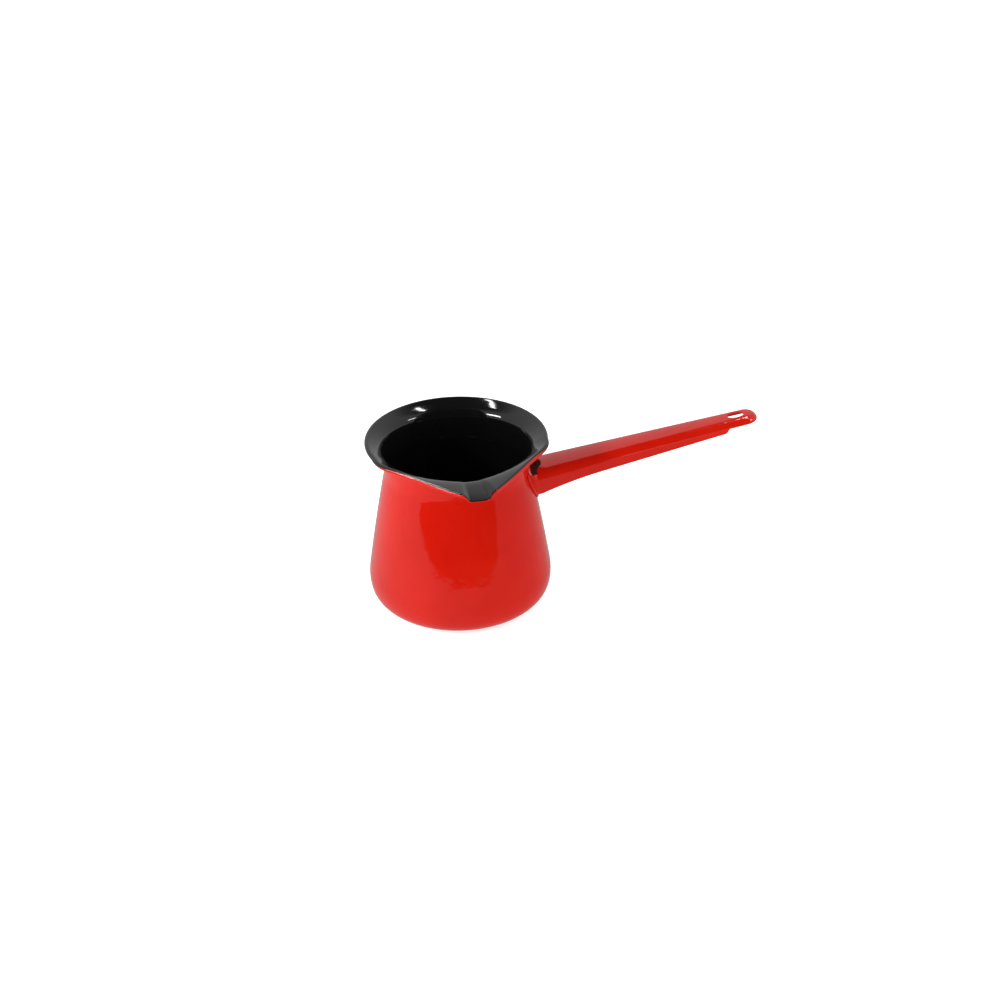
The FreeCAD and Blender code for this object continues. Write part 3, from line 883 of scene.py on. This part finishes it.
def add_dark_front():
    """Black panels in front that only reflections see: they give the body its deep red middle."""
    for index, (start, end) in enumerate(zip(FRONT_FOOT, FRONT_FOOT[1:])):
        corners = [start, end, end[:2] + (FRONT_HEIGHT,), start[:2] + (FRONT_HEIGHT,)]
        panel = stage_sheet("dark_front_%d" % index, corners, DARK, 1.0)
        panel.visible_camera = False
        panel.visible_diffuse = False
        panel.visible_shadow = False


def add_dark_ceiling():
    """The studio's unlit ceiling: it dims what faces up and blackens the rim's reflections."""
    steps, radius = CEILING_STEPS, CEILING_RADIUS
    turns = [2 * math.pi * step / steps for step in range(steps)]
    mesh = bpy.data.meshes.new("dark_ceiling")
    mesh.from_pydata([(radius * math.cos(turn), radius * math.sin(turn), CEILING_HEIGHT)
                      for turn in turns], [], [tuple(range(steps))])
    ceiling = linked("dark_ceiling", mesh)
    material, tree, shader = nodes_of("dark_ceiling")
    shader.inputs["Base Color"].default_value = DARK
    shader.inputs["Emission Color"].default_value = (1, 1, 1, 1)
    place = tree.nodes.new("ShaderNodeTexCoord")
    flat = tree.nodes.new("ShaderNodeVectorMath")
    flat.operation = "MULTIPLY"
    flat.inputs[1].default_value = (1, 1, 0)
    away = tree.nodes.new("ShaderNodeVectorMath")
    away.operation = "LENGTH"
    glow = tree.nodes.new("ShaderNodeMapRange")
    glow.inputs["From Min"].default_value = CEILING_DARK_RADIUS
    glow.inputs["From Max"].default_value = CEILING_RADIUS
    glow.inputs["To Max"].default_value = WORLD_ABOVE
    tree.links.new(place.outputs["Object"], flat.inputs[0])
    tree.links.new(flat.outputs["Vector"], away.inputs[0])
    tree.links.new(away.outputs["Value"], glow.inputs["Value"])
    tree.links.new(glow.outputs["Result"], shader.inputs["Emission Strength"])
    mesh.materials.append(material)
    ceiling.visible_camera = False


def add_softbox(name, azimuth, elevation, distance, size, radiance):
    """A rectangular lamp seen from the pot's mouth at that azimuth and elevation, in degrees."""
    turn, rise = math.radians(azimuth), math.radians(elevation)
    mouth = Vector((0, 0, POT_HEIGHT * MM))
    away = Vector((math.cos(turn) * math.cos(rise), math.sin(turn) * math.cos(rise),
                   math.sin(rise)))
    data = bpy.data.lights.new(name, "AREA")
    data.shape = "RECTANGLE"
    data.size, data.size_y = size
    data.energy = radiance * math.pi * size[0] * size[1]
    light = linked(name, data)
    light.rotation_euler = (-away).to_track_quat("-Z", "Y").to_euler()
    light.location = mouth + away * distance


def add_world():
    """Even light above; below the horizon, where only reflections look, dimmer to the right."""
    world = bpy.data.worlds.new("studio")
    bpy.context.scene.world = world
    world.use_nodes = True
    tree = world.node_tree
    background = tree.nodes["Background"]
    background.inputs["Color"].default_value = (1, 1, 1, 1)
    place = tree.nodes.new("ShaderNodeTexCoord")
    lean = tree.nodes.new("ShaderNodeVectorMath")
    lean.operation = "DOT_PRODUCT"
    lean.inputs[1].default_value = WORLD_LEAN
    below = tree.nodes.new("ShaderNodeMath")
    below.inputs[1].default_value = WORLD_BELOW
    split = tree.nodes.new("ShaderNodeSeparateXYZ")
    above = tree.nodes.new("ShaderNodeMath")
    above.operation = "GREATER_THAN"
    above.inputs[1].default_value = 0.0
    choose = tree.nodes.new("ShaderNodeMix")
    choose.inputs["B"].default_value = WORLD_ABOVE
    tree.links.new(place.outputs["Generated"], lean.inputs[0])
    tree.links.new(lean.outputs["Value"], below.inputs[0])
    tree.links.new(place.outputs["Generated"], split.inputs[0])
    tree.links.new(split.outputs["Z"], above.inputs[0])
    tree.links.new(above.outputs["Value"], choose.inputs["Factor"])
    tree.links.new(below.outputs["Value"], choose.inputs["A"])
    tree.links.new(choose.outputs["Result"], background.inputs["Strength"])


def add_camera():
    """The photograph's camera: its angles from the pot's front, its roll and its aim."""
    azimuth, elevation, roll = map(math.radians, CAMERA_ANGLES)
    back = Vector((math.sin(azimuth) * math.cos(elevation),
                   -math.cos(azimuth) * math.cos(elevation), math.sin(elevation)))
    right = Vector((math.cos(azimuth), math.sin(azimuth), 0))
    up = back.cross(right)
    target = Vector((0, 0, CAMERA_HEIGHT)) + right * CAMERA_AIM[0] + up * CAMERA_AIM[1]
    data = bpy.data.cameras.new("camera")
    data.lens = FOCAL_LENGTH
    data.sensor_width = SENSOR_WIDTH
    camera = linked("camera", data)
    rolled_right = right * math.cos(roll) - up * math.sin(roll)
    rolled_up = right * math.sin(roll) + up * math.cos(roll)
    turn = Matrix((rolled_right, rolled_up, back)).transposed()
    camera.matrix_world = Matrix.Translation(target + back * CAMERA_DISTANCE) @ turn.to_4x4()
    bpy.context.scene.camera = camera


add_floor()
add_dark_front()
add_dark_ceiling()
add_world()
for softbox in SOFTBOXES:
    add_softbox(*softbox)
add_camera()
bpy.context.scene.view_settings.view_transform = "Standard"
